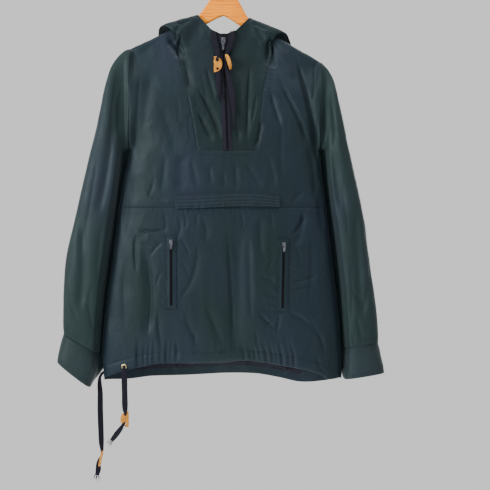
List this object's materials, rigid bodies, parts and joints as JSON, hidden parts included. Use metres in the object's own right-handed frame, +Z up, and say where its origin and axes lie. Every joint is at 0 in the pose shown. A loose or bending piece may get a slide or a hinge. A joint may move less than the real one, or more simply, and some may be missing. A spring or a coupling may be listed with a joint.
{
  "type": "anorak smock on a wooden hanger",
  "caption": "Hooded pullover anorak smock with a half zip, chest flap, zipped hand pockets and drawcord hem, hanging on a wooden hanger.",
  "frame": {"origin": "inside top of the hanger's hook, where a rail carries the hanger", "axes": "+Z up, -Y to the front of the smock, +X to the right as seen from the front"},
  "size_m": [0.683, 0.1668, 1.1058],
  "materials": {
    "shell_cloth": "satin",
    "navy_tape": "matte",
    "navy_cord": "matte",
    "hanger_wood": "gloss",
    "hook_steel": "polished",
    "toggle_leather": "satin",
    "zip_metal": "satin",
    "eyelet_brass": "satin"
  },
  "bodies": {
    "root": {"hanger_wood": "hanger_wood", "hanger_hook": "hook_steel", "front_upper": "shell_cloth", "front_lower": "shell_cloth", "back": "shell_cloth", "sleeve_right": "shell_cloth", "sleeve_left": "shell_cloth", "cuff_right": "shell_cloth", "cuff_left": "shell_cloth", "hood_right": "shell_cloth", "hood_left": "shell_cloth", "zip_tape_right": "navy_tape", "zip_tape_left": "navy_tape", "front_slider": "zip_metal", "chest_flap": "shell_cloth", "pocket_welt_right": "shell_cloth", "pocket_tape_right": "navy_tape", "pocket_right_slider": "zip_metal", "pocket_welt_left": "shell_cloth", "pocket_tape_left": "navy_tape", "pocket_left_slider": "zip_metal", "hem_tape": "navy_tape", "eyelet": "eyelet_brass", "hood_cord_right": "navy_cord", "hood_cord_left": "navy_cord", "hem_cord_front": "navy_cord", "hem_cord_side": "navy_cord", "hood_toggle_right": "toggle_leather", "hood_toggle_left": "toggle_leather", "hem_toggle_front": "toggle_leather", "hem_toggle_side": "toggle_leather"},
    "front_zip_pull": {"front_pull": "zip_metal"},
    "right_pocket_pull": {"pocket_right_pull": "zip_metal"},
    "left_pocket_pull": {"pocket_left_pull": "zip_metal"}
  },
  "joints": [
    {"name": "front_pull_swing", "type": "hinge", "parent": "root", "child": "front_zip_pull", "pos_m": [-0.0034, -0.0262, -0.189], "axis": [-1, 0, 0], "range_deg": [0, 150]},
    {"name": "right_pocket_pull_swing", "type": "hinge", "parent": "root", "child": "right_pocket_pull", "pos_m": [-0.11, -0.0542, -0.6085], "axis": [-1, 0, 0], "range_deg": [0, 150]},
    {"name": "left_pocket_pull_swing", "type": "hinge", "parent": "root", "child": "left_pocket_pull", "pos_m": [0.1225, -0.0524, -0.614], "axis": [-1, 0, 0], "range_deg": [0, 150]}
  ]
}
